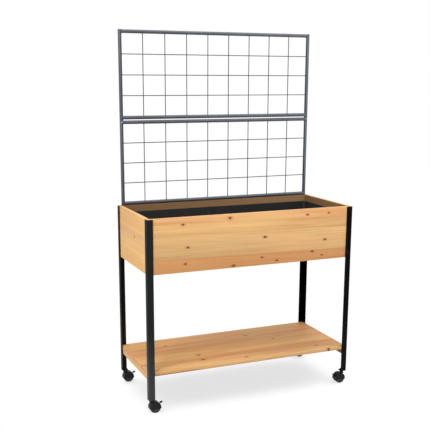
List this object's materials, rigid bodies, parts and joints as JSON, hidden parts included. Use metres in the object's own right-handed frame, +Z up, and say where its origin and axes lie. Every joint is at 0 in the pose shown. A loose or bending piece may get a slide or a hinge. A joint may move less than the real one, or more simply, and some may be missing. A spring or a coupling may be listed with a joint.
{
  "type": "planter with trellis",
  "caption": "Rolling raised wooden planter box on steel angle legs, with a lower shelf, a rear wire trellis in a tube frame, and swivel casters with brake levers.",
  "frame": {"origin": "on the floor, at the centre of the footprint", "axes": "+X to the planter's right seen from the front, +Y to its back, +Z up"},
  "size_m": [0.97, 0.4256, 1.6007],
  "materials": {
    "box_wood": "clear oiled, knotty",
    "inner_wood": "bare",
    "shelf_wood": "clear oiled",
    "black_steel": "satin powder coat",
    "trellis_steel": "satin powder coat, slate grey",
    "plated_steel": "zinc plated",
    "liner_plastic": "moulded, matte",
    "hood_plastic": "moulded nylon",
    "wheel_plastic": "moulded nylon"
  },
  "bodies": {
    "root": {"leg_front_left": "black_steel", "leg_front_right": "black_steel", "leg_rear_left": "black_steel", "leg_rear_right": "black_steel", "front_panel": "box_wood", "rear_panel": "box_wood", "left_panel": "box_wood", "right_panel": "box_wood", "floor_cleat_left": "inner_wood", "floor_cleat_middle": "inner_wood", "floor_cleat_right": "inner_wood", "floor_board_1": "inner_wood", "floor_board_2": "inner_wood", "floor_board_3": "inner_wood", "floor_board_4": "inner_wood", "planter_liner": "liner_plastic", "shelf_board": "shelf_wood", "shelf_cleat_left": "shelf_wood", "shelf_cleat_right": "shelf_wood", "lower_trellis_post_left": "trellis_steel", "lower_trellis_post_right": "trellis_steel", "lower_trellis_top_rail": "trellis_steel", "lower_trellis_bottom_rail": "trellis_steel", "lower_trellis_grid": "trellis_steel", "upper_trellis_post_left": "trellis_steel", "upper_trellis_post_right": "trellis_steel", "upper_trellis_top_rail": "trellis_steel", "upper_trellis_bottom_rail": "trellis_steel", "upper_trellis_grid": "trellis_steel", "trellis_spigot_left": "trellis_steel", "trellis_screw_left": "plated_steel", "trellis_peg_left": "black_steel", "trellis_spigot_right": "trellis_steel", "trellis_screw_right": "plated_steel", "trellis_peg_right": "black_steel", "caster_stem_front_left": "plated_steel", "caster_stem_front_right": "plated_steel", "caster_stem_rear_left": "plated_steel", "caster_stem_rear_right": "plated_steel"},
    "caster_front_left": {"caster_hood_front_left": "hood_plastic", "caster_axle_front_left": "plated_steel"},
    "wheel_outer_front_left": {"outer_wheel_front_left": "wheel_plastic"},
    "wheel_inner_front_left": {"inner_wheel_front_left": "wheel_plastic"},
    "lever_front_left": {"brake_lever_front_left": "hood_plastic"},
    "caster_front_right": {"caster_hood_front_right": "hood_plastic", "caster_axle_front_right": "plated_steel"},
    "wheel_outer_front_right": {"outer_wheel_front_right": "wheel_plastic"},
    "wheel_inner_front_right": {"inner_wheel_front_right": "wheel_plastic"},
    "lever_front_right": {"brake_lever_front_right": "hood_plastic"},
    "caster_rear_left": {"caster_hood_rear_left": "hood_plastic", "caster_axle_rear_left": "plated_steel"},
    "wheel_outer_rear_left": {"outer_wheel_rear_left": "wheel_plastic"},
    "wheel_inner_rear_left": {"inner_wheel_rear_left": "wheel_plastic"},
    "lever_rear_left": {"brake_lever_rear_left": "hood_plastic"},
    "caster_rear_right": {"caster_hood_rear_right": "hood_plastic", "caster_axle_rear_right": "plated_steel"},
    "wheel_outer_rear_right": {"outer_wheel_rear_right": "wheel_plastic"},
    "wheel_inner_rear_right": {"inner_wheel_rear_right": "wheel_plastic"},
    "lever_rear_right": {"brake_lever_rear_right": "hood_plastic"}
  },
  "joints": [
    {"name": "swivel_front_left", "type": "hinge", "parent": "root", "child": "caster_front_left", "pos_m": [-0.47025, -0.19475, 0.049], "axis": [0, 0, 1], "continuous": true},
    {"name": "roll_outer_front_left", "type": "hinge", "parent": "caster_front_left", "child": "wheel_outer_front_left", "pos_m": [-0.45625, -0.19475, 0.023], "axis": [0, 1, 0], "continuous": true},
    {"name": "roll_inner_front_left", "type": "hinge", "parent": "caster_front_left", "child": "wheel_inner_front_left", "pos_m": [-0.45625, -0.19475, 0.023], "axis": [0, 1, 0], "continuous": true},
    {"name": "brake_front_left", "type": "hinge", "parent": "caster_front_left", "child": "lever_front_left", "pos_m": [-0.44025, -0.19475, 0.033], "axis": [0, 1, 0], "range_deg": [0, 18]},
    {"name": "swivel_front_right", "type": "hinge", "parent": "root", "child": "caster_front_right", "pos_m": [0.47025, -0.19475, 0.049], "axis": [0, 0, 1], "continuous": true},
    {"name": "roll_outer_front_right", "type": "hinge", "parent": "caster_front_right", "child": "wheel_outer_front_right", "pos_m": [0.45625, -0.19475, 0.023], "axis": [0, 1, 0], "continuous": true},
    {"name": "roll_inner_front_right", "type": "hinge", "parent": "caster_front_right", "child": "wheel_inner_front_right", "pos_m": [0.45625, -0.19475, 0.023], "axis": [0, 1, 0], "continuous": true},
    {"name": "brake_front_right", "type": "hinge", "parent": "caster_front_right", "child": "lever_front_right", "pos_m": [0.44025, -0.19475, 0.033], "axis": [0, -1, 0], "range_deg": [0, 18]},
    {"name": "swivel_rear_left", "type": "hinge", "parent": "root", "child": "caster_rear_left", "pos_m": [-0.47025, 0.19475, 0.049], "axis": [0, 0, 1], "continuous": true},
    {"name": "roll_outer_rear_left", "type": "hinge", "parent": "caster_rear_left", "child": "wheel_outer_rear_left", "pos_m": [-0.45625, 0.19475, 0.023], "axis": [0, 1, 0], "continuous": true},
    {"name": "roll_inner_rear_left", "type": "hinge", "parent": "caster_rear_left", "child": "wheel_inner_rear_left", "pos_m": [-0.45625, 0.19475, 0.023], "axis": [0, 1, 0], "continuous": true},
    {"name": "brake_rear_left", "type": "hinge", "parent": "caster_rear_left", "child": "lever_rear_left", "pos_m": [-0.44025, 0.19475, 0.033], "axis": [0, 1, 0], "range_deg": [0, 18]},
    {"name": "swivel_rear_right", "type": "hinge", "parent": "root", "child": "caster_rear_right", "pos_m": [0.47025, 0.19475, 0.049], "axis": [0, 0, 1], "continuous": true},
    {"name": "roll_outer_rear_right", "type": "hinge", "parent": "caster_rear_right", "child": "wheel_outer_rear_right", "pos_m": [0.45625, 0.19475, 0.023], "axis": [0, 1, 0], "continuous": true},
    {"name": "roll_inner_rear_right", "type": "hinge", "parent": "caster_rear_right", "child": "wheel_inner_rear_right", "pos_m": [0.45625, 0.19475, 0.023], "axis": [0, 1, 0], "continuous": true},
    {"name": "brake_rear_right", "type": "hinge", "parent": "caster_rear_right", "child": "lever_rear_right", "pos_m": [0.44025, 0.19475, 0.033], "axis": [0, -1, 0], "range_deg": [0, 18]}
  ]
}
